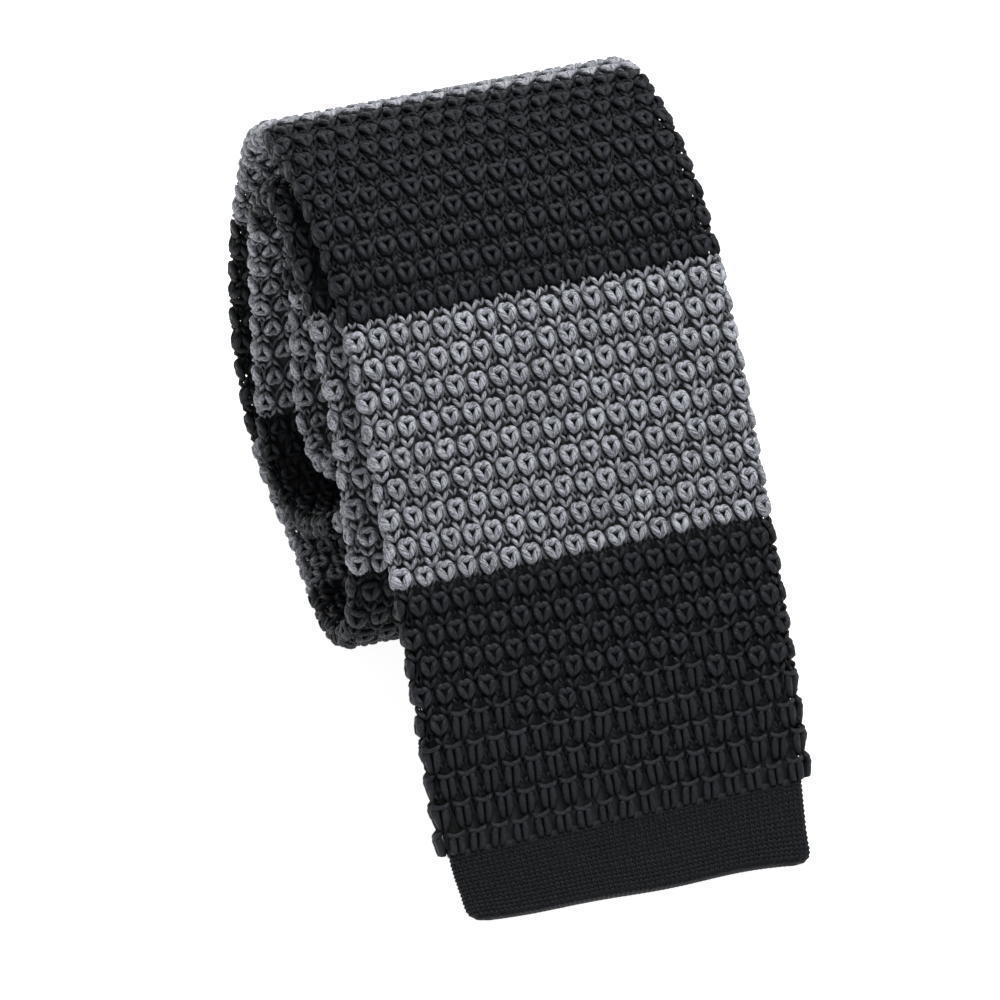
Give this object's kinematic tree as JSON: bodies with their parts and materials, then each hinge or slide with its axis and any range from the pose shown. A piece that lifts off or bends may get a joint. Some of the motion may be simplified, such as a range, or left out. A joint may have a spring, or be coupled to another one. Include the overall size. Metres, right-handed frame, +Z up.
{
  "type": "rolled knitted necktie",
  "caption": "Square-ended knitted necktie with broad black and grey stripes, rolled up from the tail, with its front end draped over the roll.",
  "frame": {"origin": "on the table, under the middle of the whole outline of the roll and its draped end", "axes": "X across the tie, -Y toward the draped front end, Z up from the table"},
  "size_m": [0.066, 0.121, 0.0775],
  "materials": {
    "black_yarn": "matte",
    "grey_yarn": "matte"
  },
  "bodies": {
    "roll": {"blade_stripe_05": "black_yarn", "blade_stripe_06": "grey_yarn", "blade_stripe_07": "black_yarn", "blade_stripe_08": "grey_yarn", "blade_stripe_09": "black_yarn", "blade_stripe_10": "grey_yarn", "blade_stripe_11": "black_yarn", "blade_stripe_12": "grey_yarn", "blade_stripe_13": "black_yarn", "blade_stripe_14": "grey_yarn", "neck_band": "black_yarn", "tail_stripe_01": "grey_yarn", "tail_stripe_02": "black_yarn", "tail_stripe_03": "grey_yarn", "tail_stripe_04": "black_yarn", "tail_stripe_05": "grey_yarn", "tail_hem": "black_yarn", "keeper_loop": "black_yarn", "keeper_tacks": "black_yarn"},
    "back_fold": {"blade_stripe_04": "grey_yarn"},
    "top_fold": {"blade_stripe_03": "black_yarn"},
    "front_fold": {"blade_stripe_02": "grey_yarn"},
    "front_end": {"blade_stripe_01": "black_yarn", "front_hem": "black_yarn"}
  },
  "joints": [
    {"name": "peel_off_back", "type": "hinge", "parent": "roll", "child": "back_fold", "pos_m": [0, 0.0602, 0.0401], "axis": [-1, 0, 0], "range_deg": [0, 80]},
    {"name": "bend_at_crest", "type": "hinge", "parent": "back_fold", "child": "top_fold", "pos_m": [0, 0.0397, 0.0744], "axis": [-1, 0, 0], "range_deg": [0, 75]},
    {"name": "bend_at_shoulder", "type": "hinge", "parent": "top_fold", "child": "front_fold", "pos_m": [0, 0.0003, 0.0689], "axis": [-1, 0, 0], "range_deg": [0, 60]},
    {"name": "bend_at_front", "type": "hinge", "parent": "front_fold", "child": "front_end", "pos_m": [0, -0.0279, 0.0413], "axis": [-1, 0, 0], "range_deg": [0, 60]}
  ]
}
